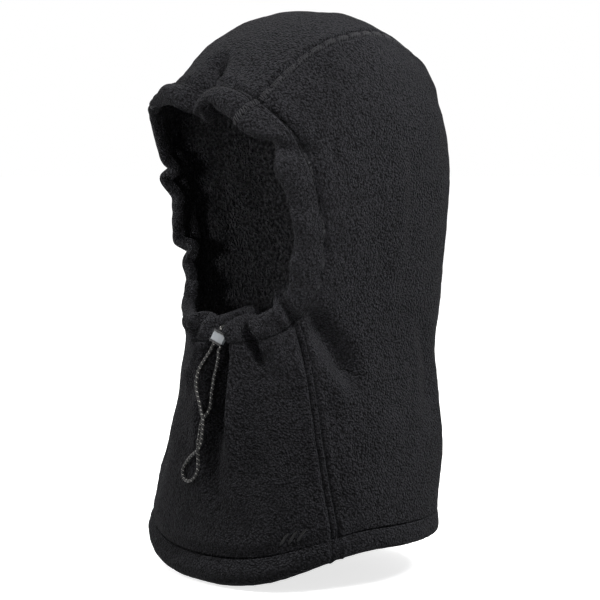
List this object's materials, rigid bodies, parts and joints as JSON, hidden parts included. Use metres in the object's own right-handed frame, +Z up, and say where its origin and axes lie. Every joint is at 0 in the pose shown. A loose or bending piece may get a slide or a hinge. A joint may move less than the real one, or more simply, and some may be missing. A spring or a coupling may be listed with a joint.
{
  "type": "balaclava",
  "caption": "Loose fleece hood with a face opening gathered by an elastic drawcord, which leaves at the chin through a sprung cord lock and hangs in a loop.",
  "frame": {"origin": "centre of the neck opening, level with the lowest point of the front hem", "axes": "+Z up to the crown, the face looks towards -Y, +X is the wearer's left"},
  "size_m": [0.232, 0.2297, 0.4158],
  "materials": {
    "fleece": "matt brushed fleece, near black",
    "thread": "spun polyester thread, black",
    "label": "woven satin, off-white, blank",
    "drawcord": "braided elastic cord, black with pale flecks",
    "lock_plastic": "glossy black",
    "button_plastic": "satin mid grey",
    "spring_steel": "bright wire"
  },
  "bodies": {
    "hood": {"crown_panel": "fleece", "side_panel_left": "fleece", "side_panel_right": "fleece", "front_panel": "fleece", "face_hem": "fleece", "bottom_hem": "fleece", "crown_seam_thread_left": "thread", "crown_seam_thread_right": "thread", "front_seam_thread_left": "thread", "front_seam_thread_right": "thread", "face_hem_thread": "thread", "bottom_hem_thread": "thread", "buttonhole_left": "thread", "buttonhole_right": "thread", "embroidered_bars": "thread", "care_label": "label", "face_drawcord": "drawcord", "cord_strands": "drawcord", "drawcord_loop": "drawcord"},
    "cord_lock": {"lock_body": "lock_plastic", "lock_spring": "spring_steel"},
    "button": {"lock_button": "button_plastic"}
  },
  "joints": [
    {"name": "lock_slide", "type": "slide", "parent": "hood", "child": "cord_lock", "axis": [-0.2573, -0.3584, -0.8974], "range_m": [0, 0.02], "deforming": ["cord_strands", "drawcord_loop"]},
    {"name": "button_press", "type": "slide", "parent": "cord_lock", "child": "button", "axis": [-0.0988, 0.9336, -0.3445], "range_m": [0, 0.001], "stiffness_N_per_m": 800, "springref_m": -0.001, "deforming": ["lock_spring"]}
  ]
}
